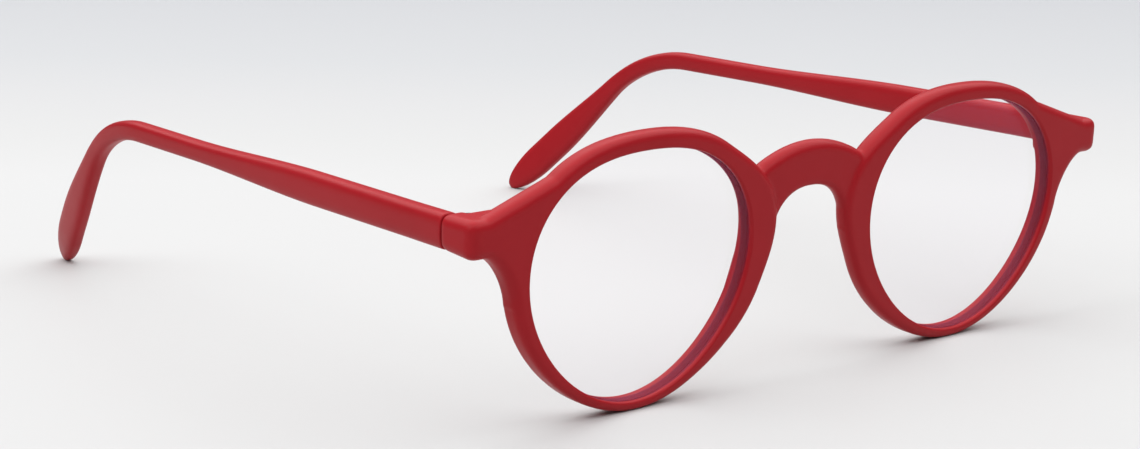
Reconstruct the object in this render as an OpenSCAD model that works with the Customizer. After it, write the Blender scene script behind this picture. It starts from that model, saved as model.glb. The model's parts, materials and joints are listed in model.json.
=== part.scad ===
// Panto eyeglasses in satin red acetate, open and standing on the rims and temple tips.
// Millimetres. +X is the wearer's left, the front faces -Y and +Z is up.

/* [Lens openings] */
// Width of a lens opening along its centre line
eye_w = 42.8; // [36:0.2:52]
// Height of a lens opening
eye_h = 37.6; // [30:0.2:48]
// How far the outline is drawn to the panto shape, flat above and full below
panto = 0.75; // [0:0.01:1.2]
// Gap between the two openings on the centre line
eye_gap = 26.2; // [20:0.2:32]

/* [Front] */
// Thickness of the acetate sheet that the front is cut from
sheet_t = 3.6; // [3:0.1:5]
// Mean width of the rim round a lens
rim_w = 2.5; // [2:0.05:4]
// Extra rim width at both sides, taken off above and below
rim_side = 0.44; // [0:0.01:0.5]
// Extra rim width on the nose side, taken off at the temple side
rim_nasal = 0.4; // [0:0.01:0.6]
// Extra rim width above, taken off below
rim_top = 0.58; // [0:0.01:0.6]
// Extra rim width at the roots of the bridge
rim_root = 2; // [0:0.1:3]
// Radius on the outer edges after tumbling
edge_r = 1.5; // [0.6:0.05:1.6]
// Largest share of a rim's width that such a radius takes
edge_share = 0.5; // [0.3:0.05:0.5]
// How far an opening's back edge flares at the roots of the bridge
root_flare = 1.4; // [0:0.1:2]
// Chamfer on the edges of the lens openings
eye_edge = 0.35; // [0.1:0.05:0.6]
// How far the front leans forward at the top, in degrees
tilt = 3; // [0:0.2:12]

/* [Bridge] */
// Height of the bridge's top edge over the lens centres
bridge_top = 15; // [10:0.1:18]
// Height of the bridge, top to bottom, in the middle
bridge_h = 5.9; // [4:0.1:8]
// How far the top edge falls towards the rims
bridge_drop = 2.2; // [0:0.1:4]
// How far the bridge's face sits behind the faces of the rims
bridge_set = 0.5; // [0:0.1:1]
// How far the arch under the bridge falls to the rims' nasal sides
arch_h = 9.1; // [3:0.1:12]

/* [End pieces and temples] */
// Width of the front over both end pieces
front_w = 134.2; // [124:0.2:160]
// Height of an end piece and of the temple at the hinge
end_h = 5.2; // [4.6:0.1:8]
// Height of the temple over its front third
mid_h = 5.1; // [3.5:0.1:8]
// Height of the temple's centre line over the lens centres
end_rise = 9.1; // [6:0.1:12]
// Depth of an end piece from the front's face to the joint with the temple
end_d = 6.2; // [5.4:0.1:10]
// Thickness of the temple at the hinge
temple_t = 3.4; // [3:0.1:5]
// Thickness of the temple at the bend
temple_bend_t = 2.8; // [2.4:0.1:4]
// Straight length of the temple from the joint to the start of the bend
temple_run = 86; // [70:0.5:110]
// Radius of the bend over the ear
bend_r = 26; // [15:0.5:40]
// Angle of the bend over the ear, in degrees
bend_a = 45; // [20:1:60]
// How far each temple turns in from straight back, in degrees
toe_in = 3.2; // [0:0.1:6]
// How far the ends draw in towards the head past the start of the bend
tip_in = 5; // [0:0.1:8]
// Height of the temple at the bend
neck_h = 3.2; // [2.4:0.1:5]
// Height of the paddle behind the ear
tip_h = 6; // [4:0.1:10]
// Length of the paddle's rounded end
tip_end = 9; // [3:0.5:14]

/* [Lenses] */
// Thickness of a lens at its edge
lens_t = 1.8; // [1.4:0.1:3]
// How far the front of a lens bulges
lens_sag = 0.7; // [0.2:0.05:2]
// Distance from the front's face to the middle of the lens groove
groove_y = 1.5; // [1.2:0.05:2]
// Depth of the lens groove
groove_d = 0.5; // [0.3:0.05:1]
// Half of the groove's width at its mouth
groove_half = 0.75; // [0.5:0.05:1]

/* [Nose pads] */
// Height of a nose pad over the back of the rim
pad_h = 1.2; // [0.5:0.1:2.5]
// How far a pad's base stays inside the rim's round back edge
pad_in = 0.25; // [0.15:0.05:0.5]
// Share of that edge that it reaches down over
pad_wrap = 0.6; // [0.3:0.05:0.7]
// Angle round the opening at which a pad starts, in degrees from the temple side
pad_from = 163; // [155:1:175]
// Angle at which it ends
pad_to = 208; // [190:1:220]

/* [Hinges] */
// Radius of the hinge's knuckles
knuckle_r = 1.45; // [1.1:0.05:1.5]
// Height of one of the five knuckles
knuckle_h = 0.7; // [0.6:0.02:0.8]
// Gap between neighbouring knuckles
knuckle_gap = 0.05; // [0.03:0.01:0.1]
// Thickness of a leaf
leaf_t = 0.8; // [0.6:0.05:1]
// Length of the leaf in the end piece
front_leaf_l = 5.4; // [4.5:0.1:6]
// Length of the leaf in the temple
temple_leaf_l = 11.5; // [8:0.5:16]
// How deep that leaf lies under the temple's inner face
leaf_sunk = 0.4; // [0.2:0.05:0.6]
// Radius of the screw's shank
screw_r = 0.6; // [0.4:0.05:0.7]
// Radius of the screw's head
head_r = 0.95; // [0.75:0.05:1]
// Height of the screw's head
head_h = 0.5; // [0.3:0.05:0.8]
// How deep the head sits in the top knuckle
head_sunk = 0.35; // [0.2:0.05:0.5]

/* [Core wires] */
// Height of the wire's oval section
wire_h = 1.5; // [1:0.1:1.8]
// Thickness of the wire's oval section
wire_t = 0.9; // [0.6:0.1:1.1]
// How far the wire runs outside the temple's middle, clear of the hinge's leaf
wire_out = 0.3; // [0.2:0.05:0.4]

/* [Clearances] */
// Gap at the joint between an end piece and its temple
butt_gap = 0.2; // [0.1:0.05:0.4]
// Gap between a lens and its opening
lens_gap = 0.05; // [0.02:0.01:0.1]
// Radial gap between the screw and the front's knuckles
fixed_gap = 0.03; // [0.02:0.01:0.05]
// Radial gap between the screw and the temple's knuckles
running_gap = 0.05; // [0.03:0.01:0.08]
// Gap between the knuckles and the acetate round them
knuckle_clear = 0.15; // [0.1:0.05:0.3]
// Gap round a leaf in its pocket and a wire in its channel
seat_gap = 0.03; // [0.02:0.01:0.05]

/* [Hidden] */
$fn = 48;

red = [0.55, 0.09, 0.10];
steel = [0.72, 0.72, 0.70];
clear = [0.90, 0.93, 0.96, 0.3];

// Stations round a rim
rim_steps = 60;
// Points on the section of a temple
temple_sides = 16;
eye_x = (eye_w + eye_gap) / 2;

// The opening's outline about the lens centre, with 0 degrees at the temple side
function eye_r(a) = (eye_w + eye_h) / 4 + (eye_w - eye_h) / 4 * cos(2 * a)
    + panto * sin(3 * a);
root_a = 160;
root_half = 32;
function root(a) = (1 + cos(min(180, abs(a - root_a) / root_half * 180))) / 2;
function rim_width(a) = rim_w + rim_side * cos(2 * a) + rim_top * sin(a) - rim_nasal * cos(a)
    + rim_root * root(a);
function rim_out(a) = eye_r(a) + rim_width(a);
function around(r, a, y) = [eye_x + r * cos(a), y, r * sin(a)];

// Closed rings joined in order, with the ends closed or run to a point
function ring_faces(n, m) = [
    for (i = [0:m - 2], j = [0:n - 1], half = [0, 1])
        let (k = (j + 1) % n, a = i * n, b = (i + 1) * n)
            half == 0 ? [a + j, a + k, b + k] : [a + j, b + k, b + j]
];
module rings(list) {
    n = len(list[0]);
    m = len(list);
    polyhedron(
        points = [for (ring = list) for (p = ring) p],
        faces = concat(
            [[for (j = [n - 1:-1:0]) j]],
            ring_faces(n, m),
            [[for (j = [0:n - 1]) (m - 1) * n + j]]
        )
    );
}

// A chain of hulls through convex rings
module chain(list) {
    for (i = [0:len(list) - 2]) {
        n = len(list[i]);
        hull() polyhedron(
            points = concat(list[i], list[i + 1]),
            faces = [[for (j = [0:n - 1]) j], [for (j = [0:n - 1]) n + j]]
        );
    }
}

// Rim blank: a round edge in front and one behind, no wider than the sheet and the rim allow
round_r = min(edge_r, 0.45 * sheet_t);
function edge(a) = min(round_r, edge_share * rim_width(a));
edge_angles = [0, 22.5, 45, 67.5, 90];
function turn(a, b) = around(rim_out(a) - edge(a) * (1 - sin(b)), a, edge(a) * (1 - cos(b)));
function turn_back(a, b) = around(rim_out(a) - edge(a) * (1 - cos(b)), a, sheet_t - edge(a) * (1 - sin(b)));
rim_angles = [for (i = [0:rim_steps - 1]) 360 * i / rim_steps];
rim_rings = concat(
    [for (b = edge_angles) [for (a = rim_angles) turn(a, b)]],
    [for (b = edge_angles) [for (a = rim_angles) turn_back(a, b)]]
);

// Opening: chamfer, wall, groove, wall and a back edge that flares, as [offset, depth] pairs at an angle
spill = 1;
flare_y = groove_y + groove_half + 0.15;
function eye_profile(a) = let (flare = root_flare * root(a), y = max(flare_y, sheet_t - eye_edge - flare)) [
    [eye_edge + spill, -spill], [0, eye_edge],
    [0, groove_y - groove_half], [groove_d, groove_y], [0, groove_y + groove_half],
    [0, y], [flare + eye_edge, sheet_t], [flare + eye_edge, sheet_t + spill]
];
eye_rings = [
    for (k = [0:len(eye_profile(0)) - 1]) [
        for (a = rim_angles) let (p = eye_profile(a)[k]) around(eye_r(a) + p[0], a, p[1])
    ]
];

// Heights in the world, from the lowest point of the leaning rims
eye_z = -min([for (ring = rim_rings) for (p = ring) p[2] * cos(tilt) + p[1] * sin(tilt)]);
axis_z = eye_z + end_rise;
end_z0 = axis_z - end_h / 2;

// The temple's centre line and size against the distance from the joint
out_x = front_w / 2;
joint_y = end_d + butt_gap;
side_x = out_x - temple_t / 2;
arc_l = bend_r * bend_a * PI / 180;
arc_drop = bend_r * (1 - cos(bend_a));
tip_r = tip_h / 2;
tip_low = norm([tip_end * sin(bend_a), tip_r * cos(bend_a)]);
tip_l = (axis_z - arc_drop - tip_low) / sin(bend_a);
path_l = temple_run + arc_l + tip_l;
total_l = path_l + tip_end;
function bent(s) = max(0, min(bend_a, (s - temple_run) / arc_l * bend_a));
function past(s) = max(0, s - temple_run - arc_l);
function run_y(s) = min(s, temple_run) + bend_r * sin(bent(s)) + past(s) * cos(bend_a);
function run_z(s) = axis_z - bend_r * (1 - cos(bent(s))) - past(s) * sin(bend_a);
tip_run = run_y(path_l) - temple_run;
function draw_in(s) = tip_in * pow(max(0, (run_y(s) - temple_run) / tip_run), 2);
function path(s) = [side_x - tan(toe_in) * run_y(s) - draw_in(s), joint_y + run_y(s), run_z(s)];

// Smooth values between chosen [share of the length, value] stations
function ease(t) = t * t * (3 - 2 * t);
function between(table, s, i = 0) =
    i >= len(table) - 2 || s < table[i + 1][0]
        ? let (a = table[i], b = table[i + 1], t = max(0, min(1, (s - a[0]) / (b[0] - a[0]))))
            a[1] + (b[1] - a[1]) * ease(t)
        : between(table, s, i + 1);
heights = [
    [0, end_h], [0.08, mid_h], [0.24, mid_h], [0.5, neck_h], [0.74, neck_h], [0.9, tip_h], [1, tip_h]
];
thicks = [[0, temple_t], [0.62, temple_bend_t], [1, temple_bend_t]];
function cap(s) = s <= path_l ? 1 : sqrt(max(0.0025, 1 - pow((s - path_l) / tip_end, 2)));
function temple_hh(s) = between(heights, s / total_l) / 2 * cap(s);
function temple_ht(s) = between(thicks, s / total_l) / 2 * pow(cap(s), 0.7);

// One section across the path, with sides between a circle and a square
square_up = 0.62;
function signed_power(v, e) = sign(v) * pow(abs(v), e);
function section(s, hh, ht, sides, e) = let (p = path(s), b = bent(s)) [
    for (i = [0:sides - 1])
        let (a = 360 * i / sides, w = ht * signed_power(cos(a), e), h = hh * signed_power(sin(a), e))
            p + [w, h * sin(b) + w * tan(toe_in), h * cos(b)]
];
temple_stations = concat(
    [-1, 0, 6, 13, 20],
    [for (i = [1:8]) 20 + (temple_run - 20) * i / 8],
    [for (i = [1:7]) temple_run + arc_l * i / 7],
    [for (i = [1:7]) temple_run + arc_l + tip_l * i / 7],
    [for (a = [15, 30, 43, 54, 64, 73, 81, 88]) path_l + tip_end * sin(a)]
);
wire_from = 0.6;
wire_to = path_l * 0.93;
wire_stations = concat(
    [wire_from, 12, 30, 50, 68],
    [for (i = [0:6]) temple_run + arc_l * i / 6],
    [temple_run + arc_l + tip_l / 3, wire_to]
);

// The whole object is centred front to back over its origin
front_y = -rim_out(90) * sin(tilt) + edge(90) * (1 - cos(tilt));
back_y = path(path_l)[1] + norm([tip_end * cos(bend_a), tip_r * sin(bend_a)]);
shift_y = -(front_y + back_y) / 2;
module in_world() {
    translate([0, shift_y, 0]) children();
}
module in_front() {
    in_world() translate([0, 0, eye_z]) rotate([tilt, 0, 0]) children();
}
module right() {
    mirror([1, 0, 0]) children();
}

// Hinge axis: beside the temple's inner face, in the middle of the joint's gap
inner_x = out_x - temple_t;
axis_x = inner_x - knuckle_r - knuckle_clear;
axis_y = joint_y - butt_gap / 2;
stack_h = 5 * knuckle_h + 4 * knuckle_gap;
leaf_h = stack_h;
function knuckle_z(i) = axis_z - stack_h / 2 + i * (knuckle_h + knuckle_gap);
plate_y = axis_y - knuckle_r - knuckle_clear;

// Bridge: a low crest over a half-oval arch, from one rim's nasal side to the other's
bridge_end = eye_gap / 2 - 0.2;
arch_x = eye_x - rim_out(180);
function bridge_hi(x) = bridge_top - bridge_drop * pow(x / arch_x, 2);
function arch_z(b) = bridge_top - bridge_h - arch_h * (1 - cos(b));
function slab(x, z0, z1, y0, y1, r) = [
    for (q = [[1, 1, 0], [0, 1, 90], [0, 0, 180], [1, 0, 270]], a = edge_angles)
        [
            x,
            (q[0] == 1 ? y1 - r : y0 + r) + r * cos(a + q[2]),
            (q[1] == 1 ? z1 - r : z0 + r) + r * sin(a + q[2])
        ]
];

// A section of the sheet at right angles to its own edge: round at the edge and square inside
lip_l = 2 * round_r + 0.5;
lip_lift = round_r + 0.2;
function lip_flat(y0) = concat(
    [[lip_l, y0]],
    [for (t = [90:-22.5:0]) [round_r * (1 - cos(t)), y0 + round_r * (1 - sin(t))]],
    [for (t = [0:22.5:90]) [round_r * (1 - cos(t)), sheet_t - round_r * (1 - sin(t))]],
    [[lip_l, sheet_t]]
);
function unit(v) = v / norm(v);
function lip(p, n, y0) = [for (q = lip_flat(y0)) [p[0] + n[0] * q[0], q[1], p[1] + n[1] * q[0]]];
function arch(b) = [arch_x * sin(b), arch_z(b)];
function arch_out(b) = unit([sin(b) / arch_x, cos(b) / arch_h]);
module bridge() {
    low = [bridge_end, arch_z(90)];
    points = concat(
        [[-low[0], low[1]]],
        [for (b = [-90:10:90]) arch(b) + lip_lift * arch_out(b)],
        [low]
    );
    chain([for (p = points) slab(p[0], p[1], bridge_hi(p[0]), bridge_set, sheet_t, round_r)]);
    chain([for (b = [-90:10:90]) lip(arch(b), arch_out(b), bridge_set)]);
}

// Arm from the rim to the end piece: it leaves the rim's top in a long curve and its side in an oval one
arm_top_a = 44;
arm_from = eye_x + rim_out(arm_top_a) * cos(arm_top_a);
rim_side_x = eye_x + rim_out(0);
arm_mid = axis_z - eye_z;
arm_top = arm_mid + end_h / 2;
arm_rise = max(0, rim_out(arm_top_a) * sin(arm_top_a) - arm_top - 0.1);
arm_dip = 7.5;
function arm_hi(x) = arm_top + arm_rise * pow(max(0, (inner_x - x) / (inner_x - arm_from)), 1.25);
into_rim = 0.2;
arm_run = inner_x - rim_side_x + into_rim;
function arm_lo(b) = [inner_x - arm_run * sin(b), arm_mid - end_h / 2 - arm_dip * (1 - cos(b))];
function arm_in(b) = unit([-sin(b) / arm_run, cos(b) / arm_dip]);
module arm() {
    turns = [for (b = [90:-10:0]) arm_lo(b) + lip_lift * arm_in(b)];
    inside = [for (i = [0:3]) [arm_from + (turns[0][0] - arm_from) * i / 4, turns[0][1]]];
    chain([for (p = concat(inside, turns)) slab(p[0], p[1], arm_hi(p[0]), 0, sheet_t, round_r)]);
    chain([for (b = [90:-10:0]) lip(arm_lo(b), arm_in(b), 0)]);
}

// End piece: a round-edged block that leans in front with the sheet and is deep enough for its hinge leaf
leaf_end = axis_x + knuckle_r - front_leaf_l;
module end_block() {
    hull() {
        for (z = [end_z0 + round_r, end_z0 + end_h - round_r])
            for (x = [leaf_end, out_x - round_r])
                for (y = [round_r - (z - eye_z) * tan(tilt), end_d + 1])
                    translate([x, y, z]) sphere(r = round_r, $fn = 16);
    }
}

module front() color(red) {
    difference() {
        union() {
            in_front() {
                rings(rim_rings);
                right() rings(rim_rings);
                bridge();
                arm();
                right() arm();
            }
            in_world() {
                end_block();
                right() end_block();
            }
        }
        in_front() {
            rings(eye_rings);
            right() rings(eye_rings);
        }
        in_world() {
            behind_front();
            right() behind_front();
        }
    }
}
// What is cut from behind an end piece: the joint's face, the hinge's recess and the leaf's pocket
module behind_front() {
    far = 20;
    near_x = leaf_end - 3;
    translate([near_x, end_d, axis_z - far / 2]) cube([far, far, far]);
    translate([near_x, plate_y, axis_z - far / 2]) cube([inner_x - near_x, far, far]);
    front_leaf_plate(seat_gap);
}

module front_leaf_plate(grow) {
    x1 = axis_x + knuckle_r;
    translate([x1 - front_leaf_l - grow, plate_y - leaf_t - grow, axis_z - leaf_h / 2 - grow])
        cube([front_leaf_l + 2 * grow, leaf_t + grow + (grow > 0 ? 1 : 0), leaf_h + 2 * grow]);
}
module front_knuckle(i) {
    translate([0, 0, knuckle_z(i)]) {
        translate([axis_x, axis_y, 0]) cylinder(r = knuckle_r, h = knuckle_h);
        translate([axis_x - knuckle_r, plate_y - leaf_t / 2, 0])
            cube([2 * knuckle_r, axis_y - plate_y + leaf_t / 2, knuckle_h]);
    }
}
module front_hinge_leaf() {
    difference() {
        union() {
            front_leaf_plate(0);
            for (i = [0, 2, 4]) front_knuckle(i);
        }
        translate([axis_x, axis_y, axis_z - stack_h]) cylinder(r = screw_r + fixed_gap, h = 2 * stack_h);
        translate([axis_x, axis_y, head_z]) cylinder(r = head_r + fixed_gap, h = head_h + 1);
    }
}
head_z = knuckle_z(4) + knuckle_h - head_sunk;

// The temple's leaf follows the temple's inner face, so it turns in with it
module on_temple() {
    translate([axis_x, axis_y, 0]) rotate([0, 0, toe_in]) children();
}
face_x = inner_x - axis_x;
leaf_from = 1.1;
arm_width = 1.3;
sunk_x = face_x + leaf_sunk;
module temple_leaf_plate(grow, ahead = 0) {
    translate([sunk_x - grow, leaf_from - grow - ahead, axis_z - leaf_h / 2 - grow])
        cube([leaf_t + 2 * grow, temple_leaf_l + 2 * grow + ahead, leaf_h + 2 * grow]);
}
// The leaf slides in from the joint's face, and its necks through a short opening in the inner face
module temple_leaf_seat() {
    ahead = 2;
    temple_leaf_plate(seat_gap, ahead);
    translate([face_x - 1, leaf_from - ahead, axis_z - leaf_h / 2 - seat_gap])
        cube([1 + leaf_sunk, ahead + arm_width + seat_gap, leaf_h + 2 * seat_gap]);
}
module temple_knuckle(i) {
    translate([0, 0, knuckle_z(i)]) {
        cylinder(r = knuckle_r, h = knuckle_h);
        linear_extrude(knuckle_h)
            polygon([
                [0, 0], [knuckle_r, 0], [sunk_x + leaf_t, leaf_from],
                [sunk_x + leaf_t, leaf_from + arm_width], [sunk_x, leaf_from + arm_width], [0, knuckle_r]
            ]);
    }
}
module temple_hinge_leaf() {
    on_temple() difference() {
        union() {
            temple_leaf_plate(0);
            for (i = [1, 3]) temple_knuckle(i);
        }
        translate([0, 0, axis_z - stack_h]) cylinder(r = screw_r + running_gap, h = 2 * stack_h);
    }
}
module hinge_screw() {
    slot_w = 0.28;
    slot_d = 0.25;
    translate([axis_x, axis_y, 0]) difference() {
        union() {
            translate([0, 0, knuckle_z(0)]) cylinder(r = screw_r, h = head_z - knuckle_z(0) + head_h / 2);
            translate([0, 0, head_z]) cylinder(r = head_r, h = head_h);
        }
        translate([-head_r - 1, -slot_w / 2, head_z + head_h - slot_d])
            cube([2 * head_r + 2, slot_w, slot_d + 1]);
    }
}

module temple() {
    ahead = 2;
    difference() {
        rings([
            for (s = temple_stations)
                section(s, temple_hh(s), temple_ht(s), temple_sides, square_up)
        ]);
        translate([0, joint_y - ahead, axis_z - end_h]) cube([out_x + ahead, ahead, 2 * end_h]);
        on_temple() temple_leaf_seat();
        rings([for (s = concat([-ahead], wire_stations, [wire_to + 0.1])) wire_ring(s, seat_gap)]);
    }
}
function wire_ring(s, grow) = [
    for (p = section(s, wire_h / 2 + grow, wire_t / 2 + grow, 8, 1)) p + [wire_out, 0, 0]
];
module core_wire() {
    rings([for (s = wire_stations) wire_ring(s, 0)]);
}

// Lens: rings from the middle of the front to the middle of the back
function lens_ring(share, offset, y) = [
    for (a = rim_angles) around(share * (eye_r(a) + offset), a, y)
];
lens_y = groove_y - lens_t / 2;
function bulge(share) = -lens_sag * (1 - share * share);
lens_steps = [0.02, 0.4, 0.75];
bevel_half = groove_half * (groove_d - lens_gap) / groove_d - lens_gap;
module lens() {
    rings(concat(
        [for (k = lens_steps) lens_ring(k, 0, lens_y + bulge(k))],
        [
            lens_ring(1, -lens_gap, lens_y),
            lens_ring(1, -lens_gap, groove_y - bevel_half),
            lens_ring(1, groove_d - 2 * lens_gap, groove_y),
            lens_ring(1, -lens_gap, groove_y + bevel_half),
            lens_ring(1, -lens_gap, lens_y + lens_t)
        ],
        [for (i = [2:-1:0]) lens_ring(lens_steps[i], 0, lens_y + lens_t + bulge(lens_steps[i]))]
    ));
}

// Nose pad: half-oval sections round the rim's nasal side, cut to the shape of the rim's back
pad_steps = 12;
pad_turn = asin(1 - pad_wrap);
module nose_pad() {
    difference() {
        rings([
            for (i = [0:pad_steps])
                let (
                    t = 2 * i / pad_steps - 1,
                    a = pad_from + (pad_to - pad_from) * i / pad_steps,
                    k = sqrt(max(0.02, 1 - t * t)),
                    inner = eye_r(a) + eye_edge + root_flare * root(a),
                    half = (rim_out(a) - pad_in - edge(a) * (1 - cos(pad_turn)) - inner) / 2,
                    base_y = sheet_t - pad_wrap * edge(a),
                    rise = pad_wrap * edge(a) + pad_h * k
                ) [
                    for (b = [180:-22.5:0])
                        around(inner + half + half * k * cos(b), a, base_y + rise * sin(b))
                ]
        ]);
        rings(rim_rings);
        bridge();
    }
}

module lens_left() color(clear) in_front() lens();
module lens_right() color(clear) in_front() right() lens();
module nose_pad_left() color(red) in_front() nose_pad();
module nose_pad_right() color(red) in_front() right() nose_pad();
module temple_left() color(red) in_world() temple();
module temple_right() color(red) in_world() right() temple();
module core_wire_left() color(steel) in_world() core_wire();
module core_wire_right() color(steel) in_world() right() core_wire();
module front_hinge_leaf_left() color(steel) in_world() front_hinge_leaf();
module front_hinge_leaf_right() color(steel) in_world() right() front_hinge_leaf();
module temple_hinge_leaf_left() color(steel) in_world() temple_hinge_leaf();
module temple_hinge_leaf_right() color(steel) in_world() right() temple_hinge_leaf();
module hinge_screw_left() color(steel) in_world() hinge_screw();
module hinge_screw_right() color(steel) in_world() right() hinge_screw();

front();
lens_left();
lens_right();
nose_pad_left();
nose_pad_right();
temple_left();
temple_right();
core_wire_left();
core_wire_right();
front_hinge_leaf_left();
front_hinge_leaf_right();
temple_hinge_leaf_left();
temple_hinge_leaf_right();
hinge_screw_left();
hinge_screw_right();
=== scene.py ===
# Panto eyeglasses in satin red acetate, open on a white table.
# Sizes are in millimetres and become metres where a mesh is placed.
# +X is the wearer's left, the front faces -Y and +Z is up.
import json
import math

import bmesh
import bpy
from mathutils import Matrix, Vector


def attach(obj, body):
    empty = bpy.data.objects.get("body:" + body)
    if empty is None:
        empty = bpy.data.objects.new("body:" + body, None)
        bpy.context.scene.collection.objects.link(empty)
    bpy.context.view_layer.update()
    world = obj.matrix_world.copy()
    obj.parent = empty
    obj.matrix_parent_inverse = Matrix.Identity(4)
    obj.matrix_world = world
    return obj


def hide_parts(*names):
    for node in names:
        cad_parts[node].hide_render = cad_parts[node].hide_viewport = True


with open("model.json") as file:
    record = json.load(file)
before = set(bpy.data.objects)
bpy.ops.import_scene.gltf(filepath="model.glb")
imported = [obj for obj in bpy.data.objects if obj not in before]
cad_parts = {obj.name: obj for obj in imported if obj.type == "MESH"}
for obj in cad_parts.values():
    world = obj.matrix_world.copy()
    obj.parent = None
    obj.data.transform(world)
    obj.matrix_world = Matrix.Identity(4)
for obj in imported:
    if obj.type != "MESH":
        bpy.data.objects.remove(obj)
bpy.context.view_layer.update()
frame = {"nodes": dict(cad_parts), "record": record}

# Front
# One 3.6 mm sheet of red acetate, routed to two panto rims, an arched bridge and two end pieces,
# then tumbled until every outer edge is round. The openings get a V-groove for the lenses, and
# the end pieces are milled square behind, with pockets for the hinges.
MM = 0.001
SHEET_T, EDGE_R, LIP_R, TILT = 3.6, 1.5, 0.4, math.radians(3)
EYE_W, EYE_H, EYE_GAP, PANTO = 42.8, 37.6, 26.2, 0.75
EYE_X = (EYE_W + EYE_GAP) / 2
RIM_W, RIM_SIDE, RIM_NASAL, RIM_TOP = 2.5, 0.44, 0.4, 0.58
FRONT_W, TEMPLE_T, BUTT_GAP = 134.2, 3.4, 0.2
INNER_X = FRONT_W / 2 - TEMPLE_T
END_H, END_RISE, END_D = 5.2, 9.1, 6.2
joints_at = {j["name"]: Vector(j["pos_m"]) / MM for j in frame["record"]["behaviour"]["joints"]}
hinge = joints_at["left_hinge"]
SHIFT_Y = hinge.y - END_D - BUTT_GAP / 2
EYE_Z = hinge.z - END_RISE


def eye_r(a):
    """The radius of an opening. Angles round an eye run from the temple side over the top."""
    return (EYE_W + EYE_H) / 4 + (EYE_W - EYE_H) / 4 * math.cos(2 * a) + PANTO * math.sin(3 * a)


def swell(middle, half):
    """A share that is 1 at one angle round the eye and fades to 0 on both sides, in degrees."""
    def share(a):
        away = abs((a - math.radians(middle) + math.pi) % (2 * math.pi) - math.pi)
        return (1 + math.cos(math.pi * min(1, away / math.radians(half)))) / 2
    return share


# The rim is fuller at the bridge's root, towards the nose and a little on the temple side. Edges
# there, front and back, are rounded by their own amounts, and the opening flares behind.
root, ROOT_OUT = swell(middle=164, half=30), 2
nasal, NOSE_OUT, NOSE_EDGES = swell(middle=191, half=52), 0.9, (0.9, 2.0)
temporal, SIDE_OUT, SIDE_EDGES = swell(middle=-10, half=60), 0.15, (EDGE_R, 0.8)
flare, FLARE_OUT, FLARE_DEPTH = swell(middle=153, half=35), 2.0, 0.8


def rim_width(a):
    even = RIM_SIDE * math.cos(2 * a) + RIM_TOP * math.sin(a) - RIM_NASAL * math.cos(a)
    return RIM_W + even + ROOT_OUT * root(a) + NOSE_OUT * nasal(a) + SIDE_OUT * temporal(a)


def rim_out(a):
    return eye_r(a) + rim_width(a)


def edge(a):
    return min(EDGE_R, rim_width(a) / 2)


def front_edge(a):
    return edge(a) + (NOSE_EDGES[0] - EDGE_R) * nasal(a)


def back_edge(a):
    return edge(a) + (NOSE_EDGES[1] - EDGE_R) * nasal(a) + (SIDE_EDGES[1] - EDGE_R) * temporal(a)


def on_front(x, y, z):
    """A point of the leaning front, given from its face midway between the lens centres."""
    c, s = math.cos(TILT), math.sin(TILT)
    return Vector((x, y * c - z * s + SHIFT_Y, y * s + z * c + EYE_Z)) * MM


def on_head(x, y, z):
    """A point behind the front, given from the front's face and the table."""
    return Vector((x, y + SHIFT_Y, z)) * MM


WELD = 1e-7  # points closer than this, in metres, become one


def wrap(bm, rows, columns, place, mirrored=False):
    """Wraps a flat grid into a closed skin: place gives the point for a row and a column."""
    grid = bmesh.ops.create_grid(bm, x_segments=rows, y_segments=columns, size=0.5)["verts"]
    for vert in grid:
        vert.co = place(round((vert.co.x + 0.5) * rows), round((vert.co.y + 0.5) * columns))
        if mirrored:
            vert.co.x = -vert.co.x
    bmesh.ops.remove_doubles(bm, verts=grid, dist=WELD)
    kept = [v for v in grid if v.is_valid]
    bmesh.ops.recalc_face_normals(bm, faces=list({f for v in kept for f in v.link_faces}))


DISC_STEPS = 288  # points round a rim or an opening


def disc(bm, profile, mirrored):
    """A closed disc in the outline of an opening or rim. Each row of the profile gives outline,
    offset and depth, and how far both go with a size that varies round it."""
    def place(i, j):
        outline, offset, y, vary, wide, deep = profile[i]
        a = 2 * math.pi * j / DISC_STEPS
        size = vary(a)
        r = outline(a) + offset + wide * size if outline else 0
        return on_front(EYE_X + r * math.cos(a), y + deep * size, r * math.sin(a))
    wrap(bm, len(profile) - 1, DISC_STEPS, place, mirrored)


BAR_SIDES, CORNER_SHARE, SHEET_EDGES = 40, 0.8, (EDGE_R, EDGE_R)


def section(low, high, y0, share, square, low_r):
    """A point a share of the way round the sheet's section from low to high. Its low side is
    rounded by low_r in front and behind, its high side by the sheet's edge unless square."""
    low, high = Vector(low), Vector(high)
    length = (high - low).length
    corner = int(share * 4) % 4
    a = math.radians(90 * min(1, share * 4 % 1 / CORNER_SHARE))
    up, back = corner in (1, 2), corner in (2, 3)
    r = low_r[back] if not up else 0 if square else EDGE_R
    turn = a if corner in (1, 3) else math.pi / 2 - a
    far, deep = r * (1 - math.sin(turn)), r * (1 - math.cos(turn))
    point = low + (high - low) * ((length - far) if up else far) / length
    return on_front(point.x, SHEET_T - deep if back else y0 + deep, point.y)


def bar(bm, sections, mirrored, y0=0, square=False, low_r=SHEET_EDGES):
    """A bar of the sheet through sections of a low and a high point, closed at both ends."""
    def place(i, j):
        low, high = sections[min(max(i - 1, 0), len(sections) - 1)]
        if i in (0, len(sections) + 1):
            return on_front((low[0] + high[0]) / 2, SHEET_T / 2, (low[1] + high[1]) / 2)
        return section(low, high, y0, j % BAR_SIDES / BAR_SIDES, square, low_r)
    wrap(bm, len(sections) + 1, BAR_SIDES, place, mirrored)


LIP_L, LIP_LIFT = 2 * EDGE_R + 0.5, EDGE_R + 0.2


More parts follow.
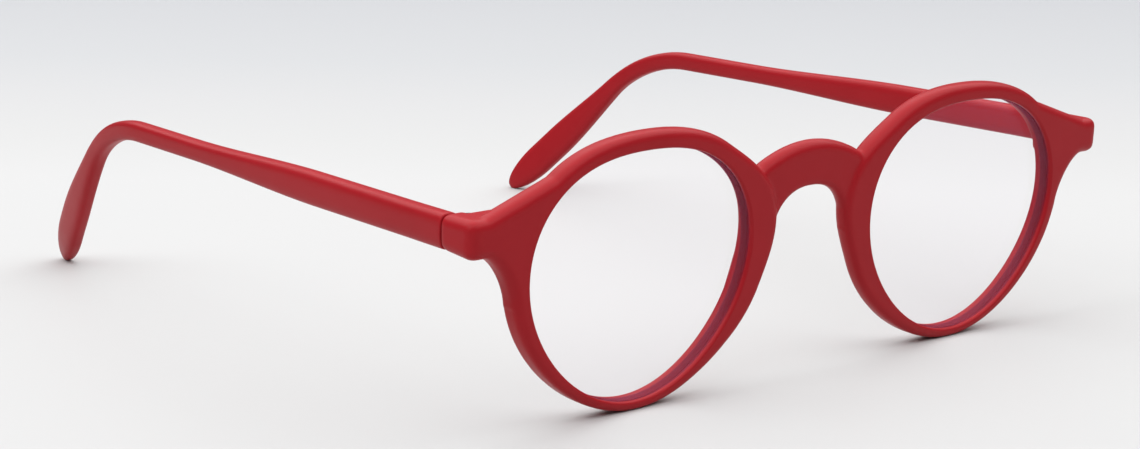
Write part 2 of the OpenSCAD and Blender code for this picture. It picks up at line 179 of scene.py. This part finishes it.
def sheet_bar(bm, curve, ends, top, mirrored, y0=0, low_r=SHEET_EDGES):
    """A lip at right angles to a fillet, and the sheet from it up to a top edge."""
    bar(bm, [(p, p + n * LIP_L) for p, n in curve], mirrored, y0, True, low_r)
    low = [Vector(q) for q in ends[0]]
    low += [p + n * LIP_LIFT for p, n in curve]
    low += [Vector(q) for q in ends[1]]
    bar(bm, [(q, (q.x, top(q.x))) for q in low], mirrored, y0)


def fillet(middle, rx, rz, turns, power):
    """Points on an oval fillet, squarer for a smaller power, each with its way into the sheet."""
    points = []
    for b in map(math.radians, turns):
        across, up = math.sin(b), math.cos(b)
        out, rise = math.copysign(abs(across) ** power, across), abs(up) ** power
        lean = Vector((math.copysign(abs(across) ** (2 - power), across) / rx,
                       abs(up) ** (2 - power) / rz))
        points.append((Vector((middle[0] + rx * out, middle[1] + rz * rise)), lean.normalized()))
    return points


BEVEL_STEPS = 4  # faces across a rounded edge


def block(bm, low, high, corner=0, drop=0, mirrored=False):
    """A box between two corners behind the front. One with rounded edges leans in front with
    the sheet and reaches lower there by a drop."""
    made = bmesh.ops.create_cube(bm, size=1)["verts"]
    a, b = on_head(*low), on_head(*high)
    for vert in made:
        leans, under = corner and vert.co.y < 0, vert.co.z < 0
        vert.co = Vector([(a[i] + b[i]) / 2 + vert.co[i] * (b[i] - a[i]) for i in range(3)])
        if leans:
            vert.co.z -= drop * MM * under
            vert.co.y -= (vert.co.z - EYE_Z * MM) * math.tan(TILT)
        if mirrored:
            vert.co.x = -vert.co.x
    bmesh.ops.recalc_face_normals(bm, faces=list({f for v in made for f in v.link_faces}))
    if corner:
        edges = list({e for v in made for e in v.link_edges})
        bmesh.ops.bevel(bm, geom=edges, offset=corner * MM, segments=BEVEL_STEPS, profile=0.5,
                        affect="EDGES", material=-1)


def as_piece(bm, name):
    """The finished bmesh as an object at the origin."""
    mesh = bpy.data.meshes.new(name)
    bm.to_mesh(mesh)
    bm.free()
    piece = bpy.data.objects.new(name, mesh)
    bpy.context.collection.objects.link(piece)
    return piece


def settle(piece):
    """Applies the modifiers of a piece to its mesh."""
    graph = bpy.context.evaluated_depsgraph_get()
    done = bpy.data.meshes.new_from_object(piece.evaluated_get(graph))
    piece.modifiers.clear()
    piece.data = done


def cut(piece, cutter):
    """Cuts one closed shape out of another."""
    knife = piece.modifiers.new("cut", "BOOLEAN")
    knife.operation, knife.solver, knife.object = "DIFFERENCE", "EXACT", cutter
    settle(piece)
    bpy.data.objects.remove(cutter)


def smooth(piece, sharp):
    """Shades a piece smooth up to an angle in degrees, past which its edges stay crisp."""
    piece.data.shade_smooth()
    piece.data.set_sharp_from_angle(angle=math.radians(sharp))


# The rims, with rounded edges, and the cutters for the openings, with small lips and the groove.
# A cutter stands 2 mm out of the sheet on both sides.
GROOVE_Y, GROOVE_D, GROOVE_HALF, PAST_SHEET = 1.5, 0.5, 0.75, 2
quarter = [math.radians(d) for d in range(0, 91, 15)]
blank = [(None, 0, 0, root, 0, 0)]
blank += [(rim_out, 0, 0, front_edge, math.sin(a) - 1, 1 - math.cos(a)) for a in quarter]
blank += [(rim_out, 0, SHEET_T, back_edge, math.cos(a) - 1, math.sin(a) - 1) for a in quarter]
blank += [(None, 0, SHEET_T, root, 0, 0)]
opening = [(None, 0, -PAST_SHEET, flare, 0, 0), (eye_r, LIP_R, -PAST_SHEET, flare, 0, 0)]
opening += [(eye_r, LIP_R * (1 - math.sin(a)), LIP_R * (1 - math.cos(a)), flare, 0, 0)
            for a in quarter]
opening += [(eye_r, d, GROOVE_Y + y, flare, 0, 0)
            for d, y in ((0, -GROOVE_HALF), (GROOVE_D, 0), (0, GROOVE_HALF))]
opening += [(eye_r, LIP_R * (1 - math.cos(a)), SHEET_T - LIP_R * (1 - math.sin(a)), flare,
             FLARE_OUT * (1 - math.cos(a)), FLARE_DEPTH * (math.sin(a) - 1)) for a in quarter]
opening += [(eye_r, LIP_R, SHEET_T + PAST_SHEET, flare, FLARE_OUT, 0),
            (None, 0, SHEET_T + PAST_SHEET, flare, 0, 0)]

# The arms between the rims and end pieces: a straight top, and a full curve down to the rim.
ARM_TOP_A, ARM_UNDER_RIM, ARM_LOW, ARM_DIP, ARM_FULL = math.radians(44), 0.1, 0.7, 8.0, 1.3
ARM_STEPS, BY_RIM = 16, 0.2
arm_from = EYE_X + rim_out(ARM_TOP_A) * math.cos(ARM_TOP_A)
arm_top = END_RISE + END_H / 2
arm_rise = rim_out(ARM_TOP_A) * math.sin(ARM_TOP_A) - arm_top - ARM_UNDER_RIM
arm_run = INNER_X - (EYE_X + rim_out(0)) + BY_RIM
arm_low = END_RISE - END_H / 2 - ARM_LOW - ARM_DIP
arm_start = INNER_X - arm_run - LIP_LIFT
arm_curve = fillet((INNER_X, arm_low), arm_run, ARM_DIP, range(-90, 1, 2), ARM_FULL)
arm_inside = [(arm_from + (arm_start - arm_from) * i / ARM_STEPS, arm_low)
              for i in range(ARM_STEPS)]


def arm_hi(x):
    return arm_top + arm_rise * max(0, (INNER_X - x) / (INNER_X - arm_from))


# The bridge: its face is set back from the rims' faces, and its arch is a little square.
BRIDGE_TOP, BRIDGE_H, BRIDGE_DROP, BRIDGE_SET = 15.3, 7.0, 1.6, 0.5
ARCH_H, ARCH_SQUARE = 8.2, 0.86
arch_x = EYE_X - rim_out(math.pi)
bridge_low = BRIDGE_TOP - BRIDGE_H - ARCH_H
bridge_end = EYE_GAP / 2 - BY_RIM
arch = fillet((0, bridge_low), arch_x - BY_RIM, ARCH_H, range(-90, 91, 2), ARCH_SQUARE)


def bridge_hi(x):
    return BRIDGE_TOP - BRIDGE_DROP * (x / arch_x) ** 2


# The end pieces stand out 1 mm too far behind, and the milling takes that off again.
KNUCKLE_R, KNUCKLE_CLEAR = 1.45, 0.15
LEAF_T, LEAF_H, FRONT_LEAF_L, SEAT_GAP = 0.8, 3.7, 5.4, 0.03
PAST_JOINT = 1
knuckle_x = hinge.x + KNUCKLE_R
leaf_end = knuckle_x - FRONT_LEAF_L

VOXEL, TUMBLE, TUMBLE_PASSES = 0.22, 0.5, 12
shells, cutters = bmesh.new(), bmesh.new()
for side in (False, True):
    disc(shells, blank, side)
    sheet_bar(shells, arm_curve, (arm_inside, []), arm_hi, side, low_r=SIDE_EDGES)
    block(shells, (leaf_end - EDGE_R, 0, hinge.z - END_H / 2),
          (FRONT_W / 2, END_D + PAST_JOINT, hinge.z + END_H / 2), EDGE_R, ARM_LOW, side)
    disc(cutters, opening, side)
sheet_bar(shells, arch, ([(-bridge_end, bridge_low)], [(bridge_end, bridge_low)]), bridge_hi,
          False, BRIDGE_SET, NOSE_EDGES)
front = as_piece(shells, "front_frame")
union = front.modifiers.new("one sheet", "REMESH")
union.mode, union.voxel_size = "VOXEL", VOXEL * MM
tumbling = front.modifiers.new("tumbled", "SMOOTH")
tumbling.factor, tumbling.iterations = TUMBLE, TUMBLE_PASSES
settle(front)
cut(front, as_piece(cutters, "openings"))

# Milled into both end pieces: the face that stops the temple, room for the knuckles, and a
# pocket for the hinge leaf.
IN_X, OUT_X, ROOM = leaf_end - 3, leaf_end + 17, 9
plate_y = END_D + BUTT_GAP / 2 - KNUCKLE_R - KNUCKLE_CLEAR
milled = {
    "joint": ((IN_X, END_D, hinge.z - ROOM), (OUT_X, END_D + ROOM, hinge.z + ROOM)),
    "knuckle_room": ((IN_X, plate_y, hinge.z - ROOM), (INNER_X, END_D + ROOM, hinge.z + ROOM)),
    "leaf_pocket": ((leaf_end - SEAT_GAP, plate_y - LEAF_T - SEAT_GAP,
                     hinge.z - LEAF_H / 2 - SEAT_GAP),
                    (knuckle_x + SEAT_GAP, plate_y + PAST_JOINT,
                     hinge.z + LEAF_H / 2 + SEAT_GAP))}
for name, (low, high) in milled.items():
    cutter = bmesh.new()
    for side in (False, True):
        block(cutter, low, high, mirrored=side)
    cut(front, as_piece(cutter, name))
smooth(front, sharp=35)
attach(front, "front")
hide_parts("front")


class Wire:
    """One output of a shader's node, which can stand in a Python expression."""

    def __init__(self, tree, socket=None):
        self.tree, self.socket = tree, socket

    def node(self, kind, settings=None, inputs=None, out=0):
        """Adds a node, sets its settings and then the values or links of its sockets."""
        made = self.tree.nodes.new(kind)
        for name, value in (settings or {}).items():
            if name == "stops":
                ramp = made.color_ramp
                while len(ramp.elements) < len(value):
                    ramp.elements.new(0.5)
                for element, (position, colour) in zip(ramp.elements, value):
                    element.position, element.color = position, (*colour, 1)
            else:
                setattr(made, name, value)
        for name, value in (inputs or {}).items():
            if isinstance(value, Wire):
                self.tree.links.new(value.socket, made.inputs[name])
            else:
                made.inputs[name].default_value = value
        return Wire(self.tree, made.outputs[out]) if len(made.outputs) else made

    def maths(self, operation, other):
        return self.node("ShaderNodeMath", {"operation": operation}, {0: self, 1: other})

    def __add__(self, other):
        return self.maths("ADD", other)

    def __mul__(self, other):
        return self.maths("MULTIPLY", other)

    __radd__, __rmul__ = __add__, __mul__

    def noise(self, scale, detail, roughness=0.5):
        """A soft random pattern over these coordinates."""
        return self.node("ShaderNodeTexNoise", {}, {
            "Vector": self, "Scale": scale, "Detail": detail, "Roughness": roughness})

    def mix(self, low, high):
        """A colour between two, by this value."""
        return self.node("ShaderNodeMix", {"data_type": "RGBA"},
                         {0: self, 6: (*low, 1), 7: (*high, 1)}, out=2)

    def show(self):
        """Puts this shader on the surface."""
        self.node("ShaderNodeOutputMaterial", {}, {"Surface": self})


def finish(name):
    """An empty material and the wire that its nodes start from."""
    material = bpy.data.materials.new(name)
    material.use_nodes = True
    material.node_tree.nodes.clear()
    return material, Wire(material.node_tree)


def srgb(r, g, b):
    return [((c / 255 + 0.055) / 1.055) ** 2.4 for c in (r, g, b)]


# The red drifts a little over 15 mm, and tumbling leaves a satin haze and a fine grain.
DEEP_RED, LIGHT_RED = srgb(152, 21, 29), srgb(164, 28, 36)
SATIN, SATIN_DRIFT, GLOSS, ACETATE_IOR = 0.33, 0.1, 0.14, 1.49
GRAIN, GRAIN_D, HAZE_D = 0.12, 0.00003, 1.5
acetate, start = finish("red acetate")
place = start.node("ShaderNodeTexCoord", out="Object")
drift = place.noise(70.0, 4.0, 0.55)
haze = place.noise(420.0, 5.0, 0.6)
grain = place.noise(2600.0, 3.0, 0.6)
bump = start.node("ShaderNodeBump", {}, {
    "Strength": GRAIN, "Distance": GRAIN_D, "Height": grain + haze * HAZE_D})
start.node("ShaderNodeBsdfPrincipled", {}, {
    "Base Color": drift.mix(DEEP_RED, LIGHT_RED), "Roughness": SATIN + haze * SATIN_DRIFT,
    "Specular IOR Level": GLOSS, "IOR": ACETATE_IOR, "Normal": bump}).show()
front.data.materials.clear()
front.data.materials.append(acetate)

# Lenses
# Clear plastic, 1.8 mm thick and slightly domed, ground to the openings' outline with a bevel
# that snaps into the V-groove of the rims. The coating gives a faint violet reflection.
LENS_T, LENS_SAG, LENS_GAP, DOME_RINGS, LENS_STEPS = 1.8, 0.7, 0.05, 20, 192
LENS_FLAT = 0.9  # faces that look less forwards or back than this belong to the ground edge
lens_y = GROOVE_Y - LENS_T / 2
bevel_half = GROOVE_HALF * (GROOVE_D - LENS_GAP) / GROOVE_D - LENS_GAP


def lens_finish(name, roughness, coat, tint, least, slant):
    """Clear plastic with a faint coloured reflection that grows where it is seen at a slant."""
    made, start = finish(name)
    gloss = start.node("ShaderNodeBsdfGlossy", {}, {"Color": (*coat, 1), "Roughness": roughness})
    through = start.node("ShaderNodeBsdfTransparent", {}, {"Color": (*tint, 1)})
    facing = start.node("ShaderNodeLayerWeight", {}, {"Blend": 0.5}, out="Facing")
    start.node("ShaderNodeMixShader", {}, {0: facing * slant + least, 1: through, 2: gloss}).show()
    return made


clear = lens_finish("coated lens", 0.02, coat=(0.9, 0.65, 1), tint=(1, 1, 1),
                    least=0.006, slant=0.04)
# The ground edge is frosted, and its dark violet see-through tint is painted shade that darkens
# the groove wall seen through it.
ground = lens_finish("ground lens edge", 0.6, coat=(0.8, 0.55, 0.7), tint=(0.74, 0.46, 0.68),
                     least=0.03, slant=0.03)
domes = [i / DOME_RINGS for i in range(DOME_RINGS + 1)]
lens_rings = [(k, -LENS_GAP * k, lens_y - LENS_SAG * (1 - k * k)) for k in domes]
lens_rings += [(1, -LENS_GAP, GROOVE_Y - bevel_half), (1, GROOVE_D - 2 * LENS_GAP, GROOVE_Y),
               (1, -LENS_GAP, GROOVE_Y + bevel_half)]
lens_rings += [(k, -LENS_GAP * k, lens_y + LENS_T - LENS_SAG * (1 - k * k))
               for k in reversed(domes)]


def lens_point(i, j):
    share, offset, y = lens_rings[i]
    a = 2 * math.pi * j / LENS_STEPS
    r = share * eye_r(a) + offset
    return on_front(EYE_X + r * math.cos(a), y, r * math.sin(a))


for side, name in ((False, "left"), (True, "right")):
    lens = bmesh.new()
    wrap(lens, len(lens_rings) - 1, LENS_STEPS, lens_point, side)
    lens.normal_update()
    for face in lens.faces:
        face.material_index = int(abs(face.normal.y) < LENS_FLAT)
    lens = as_piece(lens, "lens_" + name + "_clear")
    smooth(lens, sharp=30)
    lens.data.materials.append(clear)
    lens.data.materials.append(ground)
    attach(lens, "front")
    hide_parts("lens_" + name)

# Nose pads
# A small half-oval of the same acetate behind each rim's nasal side. It is bonded to the sheet
# before the tumbling, so its edges are as round and satin as the front's.
PAD_FROM, PAD_TO, PAD_H, PAD_IN, PAD_WRAP = math.radians(163), math.radians(208), 1.2, 0.25, 0.6
PAD_STEPS, PAD_SIDES = 48, 32
pad_inset = 1 - math.sqrt(1 - (1 - PAD_WRAP) ** 2)


def pad_point(i, j):
    t, turn = 2 * i / PAD_STEPS - 1, 2 * math.pi * j / PAD_SIDES
    a = PAD_FROM + (PAD_TO - PAD_FROM) * i / PAD_STEPS
    k = math.sqrt(max(0, 1 - t * t))
    inner = eye_r(a) + LIP_R + FLARE_OUT * flare(a)
    outer = rim_out(a) - NOSE_OUT * nasal(a) - PAD_IN - edge(a) * pad_inset
    half, rise = (outer - inner) / 2, PAD_WRAP * edge(a)
    stand = (rise + PAD_H * k) * max(0, math.sin(turn)) if k > 0 else 0
    r = inner + half + half * k * math.cos(turn)
    return on_front(EYE_X + r * math.cos(a), SHEET_T - rise + stand, r * math.sin(a))


for side, name in ((False, "left"), (True, "right")):
    pad = bmesh.new()
    wrap(pad, PAD_STEPS, PAD_SIDES, pad_point, side)
    pad = as_piece(pad, "nose_pad_" + name + "_bonded")
    smooth(pad, sharp=50)
    pad.data.materials.append(acetate)
    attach(pad, "front")
    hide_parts("nose_pad_" + name)

# Temples
# Side arms of the same acetate with a wire shot through them, bent warm over a form behind the
# ear, flat-sided at the hinge, slim at the bend and widening to a round-ended paddle.
RUN, BEND_R, BEND_A, TOE_IN, TIP_IN = 86, 26, math.radians(45), math.radians(3.2), 5
BEND_T, NECK_H, MID_H, TIP_H, TIP_END = 2.8, 3.2, 5.1, 6, 9
HEIGHTS = [(0, END_H), (0.08, MID_H), (0.24, MID_H), (0.5, NECK_H), (0.74, NECK_H), (0.9, TIP_H),
           (1, TIP_H)]
THICKS = [(0, TEMPLE_T), (0.62, BEND_T), (1, BEND_T)]
SIDE_SQUARE, TIP_SQUARE, BUTT_R = 0.62, 0.7, 0.25
TEMPLE_SIDES, RUN_STEPS = 56, 150
side_x = FRONT_W / 2 - TEMPLE_T / 2
joint_y = END_D + BUTT_GAP
arc_l = BEND_R * BEND_A
tip_low = math.hypot(TIP_END * math.sin(BEND_A), TIP_H / 2 * math.cos(BEND_A))
tip_l = (hinge.z - BEND_R * (1 - math.cos(BEND_A)) - tip_low) / math.sin(BEND_A)
path_l = RUN + arc_l + tip_l
total_l = path_l + TIP_END


def bent(s):
    return max(0, min(BEND_A, (s - RUN) / BEND_R))


def run_y(s):
    after = max(0, s - RUN - arc_l)
    return min(s, RUN) + BEND_R * math.sin(bent(s)) + after * math.cos(BEND_A)


def temple_middle(s):
    """The temple's middle at a length s along it from the joint."""
    drop = BEND_R * (1 - math.cos(bent(s))) + max(0, s - RUN - arc_l) * math.sin(BEND_A)
    draw = TIP_IN * (max(0, run_y(s) - RUN) / (run_y(path_l) - RUN)) ** 2
    return side_x - math.tan(TOE_IN) * run_y(s) - draw, joint_y + run_y(s), hinge.z - drop


def between(table, share):
    for (a, low), (b, high) in zip(table, table[1:]):
        if share <= b or b == 1:
            t = max(0, min(1, (share - a) / (b - a)))
            return low + (high - low) * t * t * (3 - 2 * t)


def temple_point(s, angle, inset):
    """A point on the temple's skin, at a length along it and an angle round it."""
    cap = 1 if s <= path_l else math.sqrt(max(0, 1 - ((s - path_l) / TIP_END) ** 2))
    hh = between(HEIGHTS, s / total_l) / 2 * cap - inset
    ht = between(THICKS, s / total_l) / 2 * cap ** TIP_SQUARE - inset
    c, r = math.cos(angle), math.sin(angle)
    w = ht * math.copysign(abs(c) ** SIDE_SQUARE, c)
    h = hh * math.copysign(abs(r) ** SIDE_SQUARE, r)
    x, y, z = temple_middle(s)
    return on_head(x + w, y + h * math.sin(bent(s)) + w * math.tan(TOE_IN),
                   z + h * math.cos(bent(s)))


temple_rows = [(0, None)] + [(BUTT_R * (1 - math.cos(a)), BUTT_R * (1 - math.sin(a)))
                             for a in quarter]
temple_rows += [(1 + (path_l - 1) * i / RUN_STEPS, 0) for i in range(RUN_STEPS + 1)]
temple_rows += [(path_l + TIP_END * math.sin(math.radians(a)), 0) for a in range(4, 91, 2)]


def temple_skin(i, j):
    s, inset = temple_rows[i]
    if inset is None:
        return on_head(*temple_middle(0))
    return temple_point(s, 2 * math.pi * j / TEMPLE_SIDES, inset)


# The slot for the hinge leaf, 0.4 mm under the inner face, and the notch that its knuckles pass.
# Both are given from the hinge's axis.
LEAF_FROM, TEMPLE_LEAF_L, LEAF_SUNK, NECK_W = 1.1, 11.5, 0.4, 1.3
PAST_END, PAST_FACE = 2, 1
face_x = INNER_X - hinge.x
seat_half = LEAF_H / 2 + SEAT_GAP
leaf_seats = [
    ((face_x + LEAF_SUNK - SEAT_GAP, LEAF_FROM - PAST_END, -seat_half),
     (face_x + LEAF_SUNK + LEAF_T + SEAT_GAP, LEAF_FROM + TEMPLE_LEAF_L + SEAT_GAP, seat_half)),
    ((face_x - PAST_FACE, LEAF_FROM - PAST_END, -seat_half),
     (face_x + LEAF_SUNK, LEAF_FROM + NECK_W + SEAT_GAP, seat_half))]
toed_in = Matrix.Rotation(TOE_IN, 4, "Z")
for side, name in ((False, "left"), (True, "right")):
    temple = bmesh.new()
    wrap(temple, len(temple_rows) - 1, TEMPLE_SIDES, temple_skin, side)
    temple = as_piece(temple, "temple_" + name + "_arm")
    for low, high in leaf_seats:
        seat = bmesh.new()
        for vert in bmesh.ops.create_cube(seat, size=1)["verts"]:
            share = vert.co + Vector((0.5, 0.5, 0.5))
            corner = Vector([low[i] + share[i] * (high[i] - low[i]) for i in range(3)])
            vert.co = (hinge + toed_in @ corner) * MM
            if side:
                vert.co.x = -vert.co.x
        bmesh.ops.recalc_face_normals(seat, faces=seat.faces)
        cut(temple, as_piece(seat, "leaf_seat"))
    smooth(temple, sharp=35)
    temple.data.materials.clear()
    temple.data.materials.append(acetate)
    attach(temple, name + "_temple")
    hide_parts("temple_" + name)

# Hinges and core wires
# Stamped nickel silver leaves with five knuckles in all, a slotted steel screw as the pin,
# and a drawn wire in each temple. They keep their CAD shapes and get metal finishes.
DULL_SILVER, PALE_SILVER, STEEL = (0.62, 0.6, 0.55), (0.74, 0.73, 0.7), (0.58, 0.58, 0.58)
BRUSHED, SILVER_ROUGH, SILVER_BRUSH = (400.0, 400.0, 6000.0), 0.22, 0.18
SCRATCHES, SCRATCH_D = 0.1, 0.00002
STEEL_ROUGH, STEEL_TURNED = 0.16, 0.14
silver, start = finish("nickel silver")
place = start.node("ShaderNodeTexCoord", out="Object")
brush = start.node("ShaderNodeMapping", {}, {"Vector": place, "Scale": BRUSHED}).noise(1.0, 3.0)
tarnish = place.noise(500.0, 3.0)
bump = start.node("ShaderNodeBump", {}, {
    "Strength": SCRATCHES, "Distance": SCRATCH_D, "Height": brush})
start.node("ShaderNodeBsdfPrincipled", {}, {
    "Base Color": tarnish.mix(DULL_SILVER, PALE_SILVER), "Metallic": 1.0,
    "Roughness": SILVER_ROUGH + brush * SILVER_BRUSH, "Normal": bump}).show()
steel, start = finish("turned steel")
turned = start.node("ShaderNodeTexCoord", out="Object").noise(1500.0, 2.0)
start.node("ShaderNodeBsdfPrincipled", {}, {
    "Base Color": (*STEEL, 1), "Metallic": 1.0,
    "Roughness": STEEL_ROUGH + turned * STEEL_TURNED}).show()
for name, piece in frame["nodes"].items():
    if "leaf" in name or "wire" in name or "screw" in name:
        for slot in piece.material_slots:
            slot.material = steel if "screw" in name else silver

# Table and light
# A matt white table, 2 m square, whose colour is painted a little greyer towards its far corner:
# painted shade in place of the light falling off. A wide soft box hangs over it and a weak one
# stands at the left. The world is pale to the camera and gives the pieces little light.
TABLE_HALF, TABLE_ROUGH, TABLE_GLOSS = 1, 0.55, 0.2
FAR_WAY, TONE_MIDDLE, TONE_PER_METRE = (0.658, 0.753, 0), 0.2, 2
# Painted shade: greys by metres along the table, lightest just behind the pair and darker further
# off, where the light falls off.
PAINTED_FALLOFF_GREYS = {-0.1: (190, 190, 190), 0.087: (193, 193, 193), 0.129: (190, 190, 190),
         0.178: (187, 187, 188), 0.235: (182, 183, 185), 0.352: (177, 178, 181),
         0.4: (175, 176, 180)}
table = bmesh.new()
bmesh.ops.create_grid(table, x_segments=1, y_segments=1, size=TABLE_HALF)
table = as_piece(table, "table")
white, start = finish("white table")
place = start.node("ShaderNodeTexCoord", out="Object")
away = start.node("ShaderNodeVectorMath", {"operation": "DOT_PRODUCT"}, {0: place, 1: FAR_WAY},
                  out="Value")
stops = [(metres * TONE_PER_METRE + TONE_MIDDLE, srgb(*grey)) for metres, grey in PAINTED_FALLOFF_GREYS.items()]
# The painted falloff of light becomes the table's base colour.
painted_falloff = start.node("ShaderNodeValToRGB", {"stops": stops},
                  {"Fac": away * TONE_PER_METRE + TONE_MIDDLE})
start.node("ShaderNodeBsdfPrincipled", {}, {
    "Base Color": painted_falloff, "Roughness": TABLE_ROUGH, "Specular IOR Level": TABLE_GLOSS}).show()
table.data.materials.append(white)

WORLD_TINT, WORLD_LIGHT, WORLD_SEEN = (0.97, 0.98, 1, 1), 0.12, 0.62
world = bpy.data.worlds.new("studio")
bpy.context.scene.world = world
world.use_nodes = True
world.node_tree.nodes.clear()
sky = Wire(world.node_tree)
seen = sky.node("ShaderNodeLightPath", out="Is Camera Ray")
glow = sky.node("ShaderNodeBackground", {}, {
    "Color": WORLD_TINT, "Strength": seen * WORLD_SEEN + WORLD_LIGHT})
sky.node("ShaderNodeOutputWorld", {}, {"Surface": glow})


def soft_box(name, place, aim, size, power):
    """A rectangular lamp at a place in metres, turned towards another, with its power in watts."""
    lamp = bpy.data.lights.new(name, "AREA")
    lamp.shape, lamp.size, lamp.size_y, lamp.energy = "RECTANGLE", size[0], size[1], power
    holder = bpy.data.objects.new(name, lamp)
    holder.location = place
    holder.rotation_euler = (Vector(aim) - Vector(place)).to_track_quat("-Z", "Y").to_euler()
    bpy.context.collection.objects.link(holder)


soft_box("overhead", (0.1, 0.1, 1.1), aim=(0.05, 0.05, 0), size=(3.4, 3.0), power=70.0)
soft_box("left", (-0.9, 0.1, 0.6), aim=(0, 0, 0.02), size=(0.5, 0.7), power=1.6)

# Camera
# Solved from the photograph: a long lens, from the wearer's front right and a little above,
# with the whole pair in the frame. Places are in millimetres and directions have no unit.
SENSOR_W, FOCAL_L, NEAR, CAMERA_AT = 36, 88.05, 0.01, (-299.69, -286.88, 115.86)
RIGHT, UP = Vector((0.7554, -0.6551, 0.0171)), Vector((0.1315, 0.1771, 0.9754))
AHEAD = Vector((0.642, 0.7345, -0.2199))
camera = bpy.data.cameras.new("camera")
camera.sensor_width, camera.lens, camera.clip_start = SENSOR_W, FOCAL_L, NEAR
eye = bpy.data.objects.new("camera", camera)
bpy.context.collection.objects.link(eye)
turn = Matrix((RIGHT, UP, -AHEAD)).transposed().to_quaternion().to_matrix().to_4x4()
eye.matrix_world = Matrix.Translation(on_head(*CAMERA_AT)) @ turn
bpy.context.scene.camera = eye
bpy.context.scene.view_settings.view_transform = "Standard"
